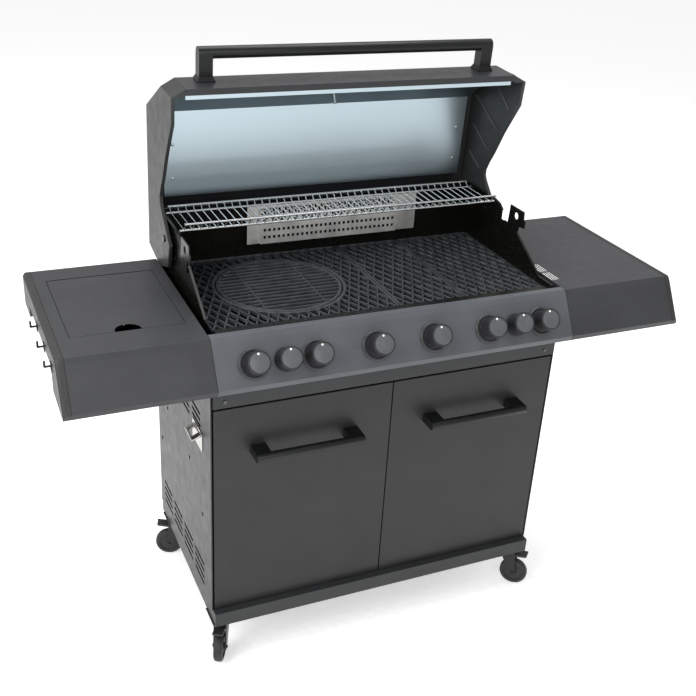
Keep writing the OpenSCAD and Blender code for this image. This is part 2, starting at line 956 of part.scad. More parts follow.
module grease_tray() {
    y1 = back_y + sheet;
    color("#6f7275") {
        difference() {
            block(-tray_half, tray_half, tray_front, y1 + EPS, tray_z, tray_z + tray_h);
            block(-tray_half + sheet, tray_half - sheet, tray_front + sheet, y1 - 4,
                tray_z + sheet, tray_z + tray_h + 1);
        }
        block(-tray_half - 14, tray_half + 14, y1, y1 + 2, tray_z - 12, tray_z + tray_h + 12);
        for (x = [-60, 54])
            block(x, x + 6, y1 + 2 - EPS, y1 + 22, tray_z + 10, tray_z + 16);
        block(-60, 60, y1 + 18, y1 + 24, tray_z + 10, tray_z + 16);
    }
}

// ---- Lid ----

gauge_stem_d = 6;

// Puts a piece on the middle of the lid's slope, with Z out of it
module on_slope() {
    p = SHELL_LINE[2];
    q = SHELL_LINE[3];
    translate([0, (p[0] + q[0]) / 2, (p[1] + q[1]) / 2])
        rotate([atan2(p[1] - q[1], p[0] - q[0]), 0, 0])
            children();
}

// The closed outline of a lid casting at the shell's width, anticlockwise
CAP_LINE = concat(RIM_LINE, [SHELL_LINE[0] - [0, 5]], [for (i = [1:4]) SHELL_LINE[i]]);

module lid_shell() {
    hem_h = 20;
    color("#3f4042")
        lid_open() {
            difference() {
                along_x(-shell_half, shell_half)
                    polygon(folded(SHELL_LINE, lid_skin));
                on_slope()
                    translate([0, 0, -20])
                        cylinder(d = gauge_stem_d, h = 30);
            }
            block(-shell_half, shell_half, lid_skin - EPS, 14, lid_low, lid_low + lid_skin);
            block(-shell_half, shell_half, -1, EPS, lid_low, lid_low + hem_h);
        }
}

module lid_cap() {
    skin_line = [for (i = [0:4]) SHELL_LINE[i]];
    color("#434446")
        lid_open()
            difference() {
                union() {
                    along_x(cheek_in, cheek_out)
                        polygon(CAP_LINE);
                    along_x(shell_half + 0.3, cheek_out)
                        polygon(folded(skin_line, bevel_d + 7));
                }
                for (i = [0:3])
                    edge_bevel(SHELL_LINE[i], SHELL_LINE[i + 1], shell_half, cheek_out, bevel_d);
                along_x(shell_half - 1, cheek_in)
                    polygon(concat(
                        beside(skin_line, bevel_d + 1),
                        [[-30, work_h - 60], [cabinet_d + 60, work_h - 60]]
                    ));
                rod_x(hinge_pin_d + 2 * running_fit, cheek_in - 1, cheek_out + 1, hinge_y, hinge_z);
            }
}

module lid_cap_left() {
    mirror([1, 0, 0])
        lid_cap();
}

module lid_cap_right() {
    lid_cap();
}

module lid_liner() {
    hang = 40;
    line = [
        [cabinet_d - 172, lid_top - lid_skin],
        [cabinet_d - 172, lid_top - hang],
        [slope_run + 22, lid_top - hang],
        [26, lid_brow - 6],
        [26, lid_low + 14],
        [lid_skin, lid_low + 14]
    ];
    color("#aebcc4")
        lid_open()
            difference() {
                along_x(-liner_half, liner_half)
                    polygon(folded(line, sheet));
                on_slope()
                    translate([0, 0, -70])
                        cylinder(d = gauge_stem_d + 4, h = 60);
            }
}

module lid_handle() {
    flare = 5;
    color("#353638")
        lid_open() {
            rod_x(lid_bar_d, -lid_bar_half, lid_bar_half, -lid_bar_reach, lid_bar_z);
            both_sides() {
                block(lid_bar_half - lid_post_w, lid_bar_half, -lid_bar_reach, -4,
                    lid_bar_z - lid_post_d / 2, lid_bar_z + lid_post_d / 2);
                hull() {
                    block(lid_bar_half - lid_post_w, lid_bar_half, -12, -11,
                        lid_bar_z - lid_post_d / 2, lid_bar_z + lid_post_d / 2);
                    block(lid_bar_half - lid_post_w - flare, lid_bar_half + flare, -2, 0,
                        lid_bar_z - lid_post_d / 2 - flare, lid_bar_z + lid_post_d / 2 + flare);
                }
            }
        }
}

module lid_thermometer() {
    color("#c5c8ca")
        lid_open()
            on_slope() {
                rotate_extrude()
                    polygon([
                        [0, 0],
                        [gauge_d / 2, 0],
                        [gauge_d / 2, 5],
                        [gauge_d / 2 - 3, 8],
                        [gauge_d / 2 - 5, 8],
                        [gauge_d / 2 - 6, 6],
                        [0, 6]
                    ]);
                translate([0, 0, -58])
                    cylinder(d = gauge_stem_d, h = 58 + EPS);
            }
}

// ---- Doors ----

module door() {
    inner = door_gap / 2;
    lip = 14;
    color("#414244") {
        difference() {
            block(inner, door_edge, 0, door_t, door_z, door_top);
            block(inner + sheet, door_edge - sheet, sheet, door_t + 1, door_z + sheet, door_top - sheet);
        }
        difference() {
            block(inner, door_edge, door_t - sheet, door_t, door_z, door_top);
            block(inner + lip, door_edge - lip, door_t - 2 * sheet, door_t + 1,
                door_z + lip, door_top - lip);
        }
        for (z = [door_z, door_top - door_pin_d])
            block(door_pin_x - 6, door_edge - EPS, sheet / 2, door_t - sheet / 2, z, z + door_pin_d);
        rod_z(door_pin_d, door_pin_x, door_pin_y, door_z - 6, door_z + 4);
        rod_z(door_pin_d, door_pin_x, door_pin_y, door_top - 4, door_top + 7 + 5);
    }
}

module door_left() {
    mirror([1, 0, 0])
        door();
}

module door_right() {
    door();
}

module door_handle() {
    mid = (door_gap / 2 + door_edge) / 2;
    bar_z = door_top - 118;
    foot_w = 38;
    post_h = 22;
    color("#2f3032") {
        rod_x(handle_d, mid - handle_l / 2, mid + handle_l / 2, -handle_reach, bar_z);
        for (s = [-1, 1])
            translate([mid + s * (handle_l - foot_w) / 2, 0, 0])
                block(-foot_w / 2, foot_w / 2, -handle_reach, 0, bar_z - post_h / 2, bar_z + post_h / 2);
    }
}

module door_handle_left() {
    mirror([1, 0, 0])
        door_handle();
}

module door_handle_right() {
    door_handle();
}

// ---- Side tables ----

module table() {
    color("#5a5c5e") {
        along_x(table_in, table_edge)
            polygon(folded(TABLE_LINE, sheet));
        for (x = [table_in, table_edge - sheet])
            along_x(x, x + sheet)
                polygon(inset(CAP_OUTLINE, sheet / 2));
    }
}

module table_left() {
    x0 = side_x - side_lid_w / 2 - side_cut;
    x1 = side_x + side_lid_w / 2 + side_cut;
    difference() {
        mirror([1, 0, 0])
            table();
        block(x0, x1, side_lid_y - side_cut, side_lid_y + side_depth + 3.5, work_h - 5, work_h + 1);
        for (y = [85, 211])
            block(-table_in - sheet - 1, -table_in + 1, y, y + 60, work_h - 30, work_h - 22);
    }
}

module table_right() {
    difference() {
        table();
        for (y = [60, 116], r = [0:3])
            block(table_in + 3 + r * 6.5, table_in + 6 + r * 6.5, y, y + 50, work_h - 5, work_h + 1);
    }
}

module table_end_caps() {
    skin = 3;
    bevel_in = 6;
    color("#72716e")
        both_sides()
            difference() {
                along_x(table_edge, table_out)
                    polygon(CAP_OUTLINE);
                along_x(table_edge - 1, table_out - skin - bevel_in)
                    polygon(inset(CAP_OUTLINE, skin));
                for (i = [0:3])
                    edge_bevel(CAP_OUTLINE[i], CAP_OUTLINE[i + 1],
                        table_out - bevel_in, table_out, bevel_in);
            }
}

module side_burner_bowl() {
    x0 = side_x - bowl_half;
    x1 = side_x + bowl_half;
    rim_top = work_h - sheet;
    color("#2a2a2c")
        difference() {
            block(x0 - sheet, x1 + sheet, bowl_y0 - sheet, bowl_y1 + sheet, bowl_low, rim_top);
            block(x0, x1, bowl_y0, bowl_y1, bowl_low + sheet, rim_top + 1);
            rod_x(side_pin_d + 2 * running_fit, x0 - 5, x1 + 5, side_hinge_y, side_hinge_z);
            rod_z(44, side_x, (bowl_y0 + bowl_y1) / 2, bowl_low - 1, bowl_low + 5);
        }
}

module side_burner() {
    y = (bowl_y0 + bowl_y1) / 2;
    support_half = 96;
    support_z = work_h - 22;
    color("#3a3a3c") {
        rod_z(42, side_x, y, bowl_low - 14, bowl_low + 16);
        rod_z(78, side_x, y, bowl_low + 16 - EPS, bowl_low + 24);
        rod_z(70, side_x, y, bowl_low + 24 - EPS, bowl_low + 28);
        for (a = [0:90:270])
            translate([side_x, y, 0])
                rotate([0, 0, a + 45]) {
                    translate([20, -3, support_z - 6])
                        cube([support_half - 20, 6, 6]);
                    translate([support_half - 8, -3, bowl_low + sheet])
                        cube([8, 6, support_z - bowl_low - sheet]);
                }
        rod_y(12, side_x, 40, y, bowl_low - 6.5);
    }
}

module side_burner_lid() {
    x0 = side_x - side_lid_w / 2;
    x1 = side_x + side_lid_w / 2;
    y1 = side_lid_y + side_depth - 1;
    edge_h = 10;
    notch_r = 30;
    color("#5a5c5e")
        difference() {
            union() {
                difference() {
                    block(x0, x1, side_lid_y, y1, work_h - edge_h, work_h);
                    block(x0 + sheet, x1 - sheet, side_lid_y + sheet, y1 - sheet,
                        work_h - edge_h - 1, work_h - sheet);
                }
                for (x = [x0 + EPS, x1 - 6 - EPS])
                    block(x, x + 6, side_hinge_y - 4, y1 - EPS, side_hinge_z - 4, work_h - sheet + EPS);
                rod_x(side_pin_d, x0 - 5, x0 + 5, side_hinge_y, side_hinge_z);
                rod_x(side_pin_d, x1 - 5, x1 + 5, side_hinge_y, side_hinge_z);
            }
            rod_z(2 * notch_r, side_x, side_lid_y + 2, work_h - edge_h - 1, work_h + 1);
        }
}

module tool_hooks() {
    d = 5;
    z = work_h - 56 + 14;
    color("#1f1f21")
        for (y = [52, 149, 255]) {
            block(-table_out - 2, -table_out, y - 9, y + 9, z - 12, z + 8);
            rod_x(d, -table_out - hook_reach + d / 2, -table_out, y, z);
            translate([-table_out - hook_reach + d / 2, y, z])
                sphere(d = d);
            rod_z(d, -table_out - hook_reach + d / 2, y, z, z + 14);
        }
}

module bottle_opener() {
    x1 = -half_w;
    y0 = 66;
    y1 = 150;
    z0 = rail_z - 156;
    color("#c9ccce") {
        block(x1 - 2, x1, y0, y1, z0, z0 + 52);
        difference() {
            along_y(y0 + 10, y1 - 10)
                polygon([[x1 - 2, z0 + 44], [x1 - 24, z0 + 34], [x1 - 24, z0 + 30], [x1 - 2, z0 + 38]]);
            block(x1 - 19, x1 - 4, y0 + 26, y1 - 26, z0, z0 + 60);
        }
    }
}

module fasteners() {
    screw_x = half_w - 34;
    screw_z = rail_z + 16;
    color("#8b8d90") {
        both_sides() {
            rod_y(9, screw_x, rail_y - 2.4, rail_y, screw_z);
            for (p = [[80, rail_z - 347], [193, rail_z - 248], [412, rail_z - 226], [482, rail_z - 361]])
                rod_x(9, half_w, half_w + 2, p[0], p[1]);
            rod_x(hinge_pin_d, box_in, cheek_out + 0.3 + EPS, hinge_y, hinge_z);
            rod_x(hinge_pin_d + 9, cheek_out + 0.3, cheek_out + 3.5, hinge_y, hinge_z);
            rod_x(hinge_pin_d + 9, box_in - 3, box_in, hinge_y, hinge_z);
            block(20, 56, hem_d - 2, hem_d, rail_z - 10, rail_z);
        }
        for (c = CASTORS, x = [-bolt_at, bolt_at], y = [-bolt_at, bolt_at])
            rod_z(11, c[1] + x, c[2] + y, castor_h - mount_t - 3, castor_h - mount_t);
    }
}

// ---- The assembly, moved so that its origin is under the middle of its box ----

module placed() {
    translate([shift_x, shift_y, 0])
        children();
}

placed() base_plate();
placed() side_panel_left();
placed() side_panel_right();
placed() back_panel();
placed() top_rail();
placed() castor_plates();
placed() firebox_tub();
placed() firebox_ends();
placed() burners();
placed() flame_tamers();
placed() gas_manifold();
placed() rear_burner();
placed() control_panel();
placed() knob_bezels();
placed() table_left();
placed() table_right();
placed() table_end_caps();
placed() side_burner_bowl();
placed() side_burner();
placed() tool_hooks();
placed() bottle_opener();
placed() rotisserie_brackets();
placed() fasteners();
placed() lid_shell();
placed() lid_cap_left();
placed() lid_cap_right();
placed() lid_liner();
placed() lid_handle();
placed() lid_thermometer();
placed() door_left();
placed() door_right();
placed() door_handle_left();
placed() door_handle_right();
placed() side_burner_lid();
placed() grease_tray();
placed() grate_left();
placed() grate_insert();
placed() grate_middle();
placed() grate_right();
placed() warming_rack();
for (i = [1:8]) {
    placed() knob(i - 1);
}
for (c = CASTORS) {
    placed() castor_fork(c);
    placed() castor_wheel(c);
    placed() castor_brake(c);
}
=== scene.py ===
import json
import math

import bmesh
import bpy
from mathutils import Matrix, Vector


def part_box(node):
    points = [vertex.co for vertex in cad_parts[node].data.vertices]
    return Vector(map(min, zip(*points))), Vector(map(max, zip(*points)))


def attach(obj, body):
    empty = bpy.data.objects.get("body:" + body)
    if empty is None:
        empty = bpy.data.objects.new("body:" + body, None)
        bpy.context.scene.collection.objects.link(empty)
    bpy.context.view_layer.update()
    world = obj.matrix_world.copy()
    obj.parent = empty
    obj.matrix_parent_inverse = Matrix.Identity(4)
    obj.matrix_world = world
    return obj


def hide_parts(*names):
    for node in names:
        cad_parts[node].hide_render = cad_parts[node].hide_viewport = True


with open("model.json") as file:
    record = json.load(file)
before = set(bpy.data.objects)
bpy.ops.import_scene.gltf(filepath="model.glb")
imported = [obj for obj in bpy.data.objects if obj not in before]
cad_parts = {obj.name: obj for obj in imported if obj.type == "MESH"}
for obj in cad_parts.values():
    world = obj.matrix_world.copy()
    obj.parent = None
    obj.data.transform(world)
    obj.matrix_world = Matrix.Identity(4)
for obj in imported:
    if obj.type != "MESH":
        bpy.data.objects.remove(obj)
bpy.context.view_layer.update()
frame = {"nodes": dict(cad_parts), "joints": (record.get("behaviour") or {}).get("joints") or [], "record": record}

MM = 0.001
JOINTS = {joint["name"]: joint for joint in frame["joints"]}
NODE_BODY = {
    node: body
    for body, nodes in frame["record"]["behaviour"]["bodies"].items()
    for node in nodes
}
SLOT_OF = {part["node"]: part["material_slot"] for part in frame["record"]["subparts"]}
CORNERS = ["front_left", "front_right", "rear_left", "rear_right"]


# ---- Materials ----

def blank(name):
    """A new material, its node tree and its Principled shader."""
    mat = bpy.data.materials.new(name)
    mat.use_nodes = True
    tree = mat.node_tree
    return mat, tree, tree.nodes["Principled BSDF"]


def coordinates(tree, stretch=(1, 1, 1)):
    """Object coordinates in metres, stretched for grain that runs along one axis."""
    where = tree.nodes.new("ShaderNodeTexCoord")
    scale = tree.nodes.new("ShaderNodeMapping")
    scale.inputs["Scale"].default_value = stretch
    tree.links.new(where.outputs["Object"], scale.inputs["Vector"])
    return scale.outputs["Vector"]


def noise(tree, where, scale, detail):
    """A noise value: the scale is about the number of lumps in a metre."""
    node = tree.nodes.new("ShaderNodeTexNoise")
    node.inputs["Scale"].default_value = scale
    node.inputs["Detail"].default_value = detail
    node.inputs["Roughness"].default_value = 0.55
    tree.links.new(where, node.inputs["Vector"])
    return node.outputs["Fac"]


def ramp(tree, value, stops):
    """A colour ramp: stops are (position, colour) or (position, grey level)."""
    node = tree.nodes.new("ShaderNodeValToRGB")
    points = node.color_ramp.elements
    while len(points) < len(stops):
        points.new(0.5)
    for point, (place, colour) in zip(points, stops):
        point.position = place
        rgb = colour if isinstance(colour, tuple) else (colour,) * 3
        point.color = (*rgb, 1)
    tree.links.new(value, node.inputs["Fac"])
    return node.outputs["Color"]


def bump(tree, layers):
    """Stacks bumps: each layer is (height value, strength, distance in metres)."""
    normal = None
    for height, strength, distance in layers:
        node = tree.nodes.new("ShaderNodeBump")
        node.inputs["Strength"].default_value = strength
        node.inputs["Distance"].default_value = distance
        tree.links.new(height, node.inputs["Height"])
        if normal:
            tree.links.new(normal, node.inputs["Normal"])
        normal = node.outputs["Normal"]
    return normal


def shade(colour, factor):
    """The colour made lighter or darker, never over full brightness."""
    return tuple(min(1.0, c * factor) for c in colour)


def feed(tree, bsdf, tone, dullness, relief):
    """Links the shader's colour, roughness and normal."""
    for socket, value in (("Base Color", tone), ("Roughness", dullness), ("Normal", relief)):
        tree.links.new(value, bsdf.inputs[socket])


def stained(tree, tone, clouds, amount):
    """The tone with straw and blue heat colours in cloudy patches."""
    mix = tree.nodes.new("ShaderNodeMixRGB")
    mix.blend_type = "MULTIPLY"
    mix.inputs["Fac"].default_value = amount
    straw, blue = (0.86, 0.74, 0.55), (0.55, 0.56, 0.66)
    heat = ramp(tree, clouds, [(0.3, (1, 1, 1)), (0.5, straw), (0.7, blue)])
    tree.links.new(tone, mix.inputs["Color1"])
    tree.links.new(heat, mix.inputs["Color2"])
    return mix.outputs["Color"]


def coat(name, colour, rough, spread=0.10, grain=0.10, specular=0.3):
    """Powder coat or enamel: cloudy tone, fine orange peel and a grain of about a millimetre."""
    mat, tree, bsdf = blank(name)
    where = coordinates(tree)
    clouds = noise(tree, where, scale=9, detail=5)
    haze = noise(tree, where, scale=34, detail=6)
    peel = noise(tree, where, scale=420, detail=2)
    grit = noise(tree, where, scale=1500, detail=2)
    tone = ramp(tree, clouds, [(0.3, shade(colour, 1 - spread)), (0.7, shade(colour, 1 + spread))])
    dullness = ramp(tree, haze, [(0.3, rough - 0.05), (0.7, rough + 0.06)])
    feed(tree, bsdf, tone, dullness, bump(tree, [(peel, grain, 0.0002), (grit, grain, 0.0001)]))
    bsdf.inputs["Specular IOR Level"].default_value = specular
    return mat


def brushed(name, colour, rough, along, streak=0.25, stain=0.0):
    """Brushed metal: long streaks along one axis, with an optional heat stain."""
    mat, tree, bsdf = blank(name)
    stretch = {"x": (2, 300, 300), "y": (300, 2, 300)}[along]
    lines = noise(tree, coordinates(tree, stretch), scale=2.2, detail=3)
    clouds = noise(tree, coordinates(tree), scale=6, detail=5)
    darker, lighter = shade(colour, 1 - streak * 0.5), shade(colour, 1 + streak * 0.4)
    tone = ramp(tree, lines, [(0.25, darker), (0.75, lighter)])
    if stain:
        tone = stained(tree, tone, clouds, stain)
    dullness = ramp(tree, lines, [(0.2, rough - 0.3 * streak), (0.8, rough + 0.4 * streak)])
    feed(tree, bsdf, tone, dullness, bump(tree, [(lines, 0.4 * streak, 0.0001), (clouds, 0.02, 0.002)]))
    bsdf.inputs["Metallic"].default_value = 1.0
    return mat


def bright(name, colour, rough):
    """Plated or polished metal with faint smears."""
    mat, tree, bsdf = blank(name)
    where = coordinates(tree)
    smear = noise(tree, where, scale=26, detail=5)
    dents = noise(tree, where, scale=240, detail=2)
    tone = ramp(tree, smear, [(0.3, shade(colour, 0.93)), (0.7, colour)])
    dullness = ramp(tree, smear, [(0.3, rough - 0.04), (0.7, rough + 0.08)])
    feed(tree, bsdf, tone, dullness, bump(tree, [(dents, 0.05, 0.0002)]))
    bsdf.inputs["Metallic"].default_value = 1.0
    return mat


def cast(name, colour, rough, bite=0.35, sheen_colour=None):
    """Cast iron under a thin enamel: pitted, with paler patches of painted sheen."""
    mat, tree, bsdf = blank(name)
    where = coordinates(tree)
    pits = noise(tree, where, scale=900, detail=3)
    sheen_mask = noise(tree, where, scale=40, detail=6)
    # The paler patches are painted sheen: lighter colour where light would glint on the iron
    tone = ramp(tree, sheen_mask, [(0.35, colour), (0.72, sheen_colour or shade(colour, 1.8))])
    dullness = ramp(tree, sheen_mask, [(0.3, rough - 0.1), (0.75, rough + 0.12)])
    feed(tree, bsdf, tone, dullness, bump(tree, [(pits, bite, 0.0003), (sheen_mask, 0.15, 0.001)]))
    return mat


def moulded(name, colour, rough, grain=0.2):
    """Moulded plastic or rubber with a fine even texture."""
    mat, tree, bsdf = blank(name)
    where = coordinates(tree)
    soft = noise(tree, where, scale=60, detail=4)
    fine = noise(tree, where, scale=1300, detail=2)
    tone = ramp(tree, soft, [(0.3, shade(colour, 0.9)), (0.7, shade(colour, 1.12))])
    dullness = ramp(tree, soft, [(0.3, rough - 0.05), (0.7, rough + 0.07)])
    feed(tree, bsdf, tone, dullness, bump(tree, [(fine, grain, 0.0001)]))
    return mat


MATERIALS = {
    "coat_cabinet": coat("coat_cabinet", (0.0285, 0.0298, 0.0310), 0.42),
    "coat_door": coat("coat_door", (0.0209, 0.0209, 0.0223), 0.38),
    "coat_panel": coat("coat_panel", (0.080, 0.086, 0.094), 0.36),
    "coat_table": coat("coat_table", (0.036, 0.037, 0.040), 0.40),
    "cast_cap": coat("cast_cap", (0.0313, 0.0313, 0.0306), 0.46, grain=0.25),
    "lid_coat": coat("lid_coat", (0.026, 0.027, 0.029), 0.34),
    "lid_casting": coat("lid_casting", (0.031, 0.032, 0.033), 0.42, grain=0.2),
    "liner_steel": brushed("liner_steel", (0.50, 0.60, 0.65), 0.30, "x", streak=0.07),
    "handle_coat": coat("handle_coat", (0.0066, 0.0072, 0.0077), 0.34),
    "gauge": bright("gauge", (0.72, 0.72, 0.73), 0.18),
    "firebox_enamel": coat("firebox_enamel", (0.005, 0.005, 0.004), 0.26, spread=0.25, specular=0.22),
    "burner_steel": brushed("burner_steel", (0.13, 0.125, 0.12), 0.38, "y", stain=0.6),
    "polished_steel": bright("polished_steel", (0.95, 0.94, 0.91), 0.42),
    "valve_brass": bright("valve_brass", (0.55, 0.42, 0.20), 0.30),
    "bezel_metal": coat("bezel_metal", (0.043, 0.045, 0.048), 0.30),
    "knob_plastic": moulded("knob_plastic", (0.010, 0.010, 0.011), 0.42, grain=0.12),
    "bowl_enamel": coat("bowl_enamel", (0.016, 0.016, 0.017), 0.20, spread=0.2),
    "cast_black": cast("cast_black", (0.016, 0.016, 0.017), 0.55),
    # The paler bluish colour given to the grates is painted sheen
    "grate_iron": cast("grate_iron", (0.026, 0.028, 0.031), 0.38, 0.3, sheen_colour=(0.056, 0.062, 0.068)),
    "rack_wire": bright("rack_wire", (0.72, 0.73, 0.73), 0.18),
    "tray_steel": brushed("tray_steel", (0.45, 0.46, 0.47), 0.36, "y"),
    "hook_coat": coat("hook_coat", (0.014, 0.014, 0.015), 0.36),
    "opener_chrome": bright("opener_chrome", (0.34, 0.33, 0.31), 0.16),
    "zinc": bright("zinc", (0.10, 0.10, 0.105), 0.32),
    "castor_steel": coat("castor_steel", (0.018, 0.018, 0.019), 0.34),
    "castor_tyre": moulded("castor_tyre", (0.012, 0.012, 0.013), 0.55, grain=0.3),
    "brake_plastic": moulded("brake_plastic", (0.020, 0.020, 0.021), 0.48),
}
DOT_WHITE = moulded("dot_white", (0.85, 0.85, 0.84), 0.4, grain=0.05)
# Lighter grey for the lid's ribs: a painted highlight along their edges
RIB_HIGHLIGHT = coat("rib_painted_highlight", (0.085, 0.093, 0.098), 0.36, grain=0.2)
# Near black for the table seams: painted shadow standing for the shade in the joint's gap
SEAM_SHADOW = moulded("seam_painted_shadow", (0.004, 0.004, 0.004), 0.6, grain=0.05)
# Lighter grey for the knobs' face discs: painted light standing for the lit tops of the black knob plastic
KNOB_FACE_LIT = moulded("knob_face_painted_light", (0.075, 0.082, 0.088), 0.36, grain=0.08)


# ---- Turning meshes into pieces ----

# A face whose area over its perimeter is more than this is shaded flat
WIDE_FACE = 4 * MM

# Edge rounding of the CAD shapes, in millimetres
SOFTENED = {
    "base_plate": 1.2, "top_rail": 0.8, "control_panel": 1.0, "table_left": 0.5, "table_right": 0.5,
    "table_end_caps": 0.9, "door_left": 1.0, "door_right": 1.0, "lid_shell": 1.2, "lid_cap_left": 1.8,
    "lid_cap_right": 1.8, "lid_handle": 1.4, "door_handle_left": 1.4, "door_handle_right": 1.4,
    "side_burner_lid": 0.7, "rotisserie_brackets": 0.6, "bottle_opener": 0.5, "tool_hooks": 0.4,
    "side_burner_bowl": 0.5, "back_panel": 0.5, "grease_tray": 0.5,
}


def smooth_by_angle(mesh, degrees):
    """Shades narrow faces smooth up to edges over the angle, and wide faces flat."""
    bm = bmesh.new()
    bm.from_mesh(mesh)
    limit = math.radians(degrees)
    for edge in bm.edges:
        edge.smooth = len(edge.link_faces) == 2 and edge.calc_face_angle(0) < limit
    for face in bm.faces:
        face.smooth = face.calc_area() / face.calc_perimeter() < WIDE_FACE
    bm.to_mesh(mesh)
    bm.free()


def mesh_from(name, bm):
    """The bmesh as a mesh; the bmesh is used up."""
    mesh = bpy.data.meshes.new(name)
    bm.to_mesh(mesh)
    bm.free()
    return mesh


def placed(name, data):
    """A new object in the scene."""
    obj = bpy.data.objects.new(name, data)
    bpy.context.scene.collection.objects.link(obj)
    return obj


def add_piece(name, bm, slot, body, replaces=(), sharp=32, material=None):
    """Turns a bmesh into a piece with a material, riding on its body."""
    bmesh.ops.recalc_face_normals(bm, faces=bm.faces)
    mesh = mesh_from(name, bm)
    smooth_by_angle(mesh, sharp)
    mesh.materials.append(material or MATERIALS[slot])
    piece = placed(name, mesh)
    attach(piece, body)
    if replaces:
        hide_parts(*replaces)


def soften(node, width, segments=2, angle=28):
    """Makes the piece that stands for a node: its own shape with its sharp edges rounded."""
    source = frame["nodes"][node]
    bm = bmesh.new()
    bm.from_mesh(source.data)
    bm.transform(source.matrix_world)
    bmesh.ops.remove_doubles(bm, verts=bm.verts, dist=1e-6)
    bmesh.ops.dissolve_limit(bm, angle_limit=math.radians(0.6), verts=bm.verts, edges=bm.edges)
    limit = math.radians(angle)
    sharp = [e for e in bm.edges if len(e.link_faces) == 2 and e.calc_face_angle(0) > limit]
    bmesh.ops.bevel(bm, geom=sharp, offset=width * MM, segments=segments, profile=0.5,
                    affect="EDGES", clamp_overlap=True)
    add_piece(node + "_finished", bm, SLOT_OF[node], NODE_BODY[node], [node], 40)


def finish_cad_nodes():
    """Gives every CAD node its slot's material."""
    for node, obj in frame["nodes"].items():
        mat = MATERIALS[SLOT_OF[node]]
        if not obj.data.materials:
            obj.data.materials.append(mat)
        for i in range(len(obj.data.materials)):
            obj.data.materials[i] = mat


def axes(place, x_axis, y_axis, z_axis):
    """The matrix that stands the three axes up at a place."""
    return Matrix.Translation(place) @ Matrix((x_axis, y_axis, z_axis)).transposed().to_4x4()


# ---- Stage, light and camera ----

def make_stage():
    """A pale floor that glows a little, in an even white studio."""
    bm = bmesh.new()
    bmesh.ops.create_grid(bm, x_segments=1, y_segments=1, size=30)
    floor = placed("floor", mesh_from("floor", bm))
    paper = moulded("floor_paper", (0.93, 0.93, 0.93), 0.8, grain=0.0)
    shader = paper.node_tree.nodes["Principled BSDF"]
    shader.inputs["Emission Color"].default_value = (1, 1, 1, 1)
    shader.inputs["Emission Strength"].default_value = 0.42
    floor.data.materials.append(paper)
    world = bpy.data.worlds.new("studio")
    world.use_nodes = True
    background = world.node_tree.nodes["Background"]
    background.inputs["Color"].default_value = (1, 1, 1, 1)
    background.inputs["Strength"].default_value = 0.55
    bpy.context.scene.world = world


def area_light(name, place, size, power):
    """A rectangular light aimed at the middle of the grill."""
    middle = Vector((0, 0, 0.8))
    light = bpy.data.lights.new(name, "AREA")
    light.shape = "RECTANGLE"
    light.size, light.size_y = size
    light.energy = power
    obj = placed(name, light)
    obj.location = place
    obj.rotation_euler = (middle - Vector(place)).to_track_quat("-Z", "Y").to_euler()


def make_lights():
    area_light("key_left", (-3.4, -1.2, 3.0), (2.6, 2.6), 110)
    area_light("fill_front", (-1.0, -3.6, 2.3), (2.4, 1.8), 38)
    area_light("top", (0.3, 0.6, 4.2), (3.4, 2.4), 120)
    area_light("rim_right", (3.6, 0.6, 2.4), (2.0, 2.0), 10)


def make_camera():
    """Stands at the front left, above the grill, turned a little about its own axis."""
    place = Vector((-1.0221, -2.1788, 1.953))
    yaw, pitch, roll = -0.4353, -0.4711, 0.0599
    forward = Vector((
        -math.sin(yaw) * math.cos(pitch),
        math.cos(yaw) * math.cos(pitch),
        math.sin(pitch),
    ))
    level = Vector((math.cos(yaw), math.sin(yaw), 0))
    square = level.cross(forward)
    right = math.cos(roll) * level + math.sin(roll) * square
    up = -math.sin(roll) * level + math.cos(roll) * square
    camera = bpy.data.cameras.new("camera")
    camera.sensor_width = 36
    camera.lens = 52.63655
    obj = placed("camera", camera)
    obj.matrix_world = axes(place, right, up, -forward)
    bpy.context.scene.camera = obj
    bpy.context.scene.view_settings.view_transform = "Standard"


# ---- Mesh shapes ----

def bridge(bm, ring_a, ring_b):
    """Joins two rings of the same count with quads."""
    n = len(ring_a)
    for i in range(n):
        bm.faces.new((ring_a[i], ring_a[(i + 1) % n], ring_b[(i + 1) % n], ring_b[i]))


def prism(bm, outline, x0, x1):
    """A solid between two X planes, from points in Y and Z."""
    a = [bm.verts.new((x0, y, z)) for y, z in outline]
    b = [bm.verts.new((x1, y, z)) for y, z in outline]
    bridge(bm, a, b)
    bm.faces.new(reversed(a))
    bm.faces.new(b)


def slab(bm, low, high):
    """A flat sheet between two corners."""
    (x0, y0, z0), (x1, y1, z1) = low, high
    prism(bm, [(y0, z0), (y1, z0), (y1, z1), (y0, z1)], x0, x1)


def lathe(bm, profile, matrix, sides):
    """Turns (radius, height) points about the matrix's Z; a radius of 0 closes the end."""
    rings = []
    for radius, height in profile:
        if radius == 0:
            rings.append([bm.verts.new(matrix @ Vector((0, 0, height)))])
            continue
        rings.append([
            bm.verts.new(matrix @ Vector((radius * math.cos(a), radius * math.sin(a), height)))
            for a in (2 * math.pi * i / sides for i in range(sides))
        ])
    for a, b in zip(rings, rings[1:]):
        if len(a) == 1 and len(b) == 1:
            continue
        if len(a) == 1 or len(b) == 1:
            tip, ring = (a[0], b) if len(a) == 1 else (b[0], a)
            for i in range(sides):
                bm.faces.new((tip, ring[i], ring[(i + 1) % sides]))
        else:
            bridge(bm, a, b)


def turned_piece(name, profile, matrix, sides, slot, body, **looks):
    """A piece that is one lathed shape."""
    bm = bmesh.new()
    lathe(bm, profile, matrix, sides)
    add_piece(name, bm, slot, body, **looks)


def flat_ring(bm, centre, inner, outer, low, high, sides=96):
    """An upright ring in the plan, with its two top edges bevelled."""
    edge = 0.8 * MM
    lathe(bm, [
        (inner, low), (outer, low), (outer, high - edge), (outer - edge, high), (inner + edge, high),
        (inner, high - edge), (inner, low)
    ], Matrix.Translation((*centre, 0)), sides)


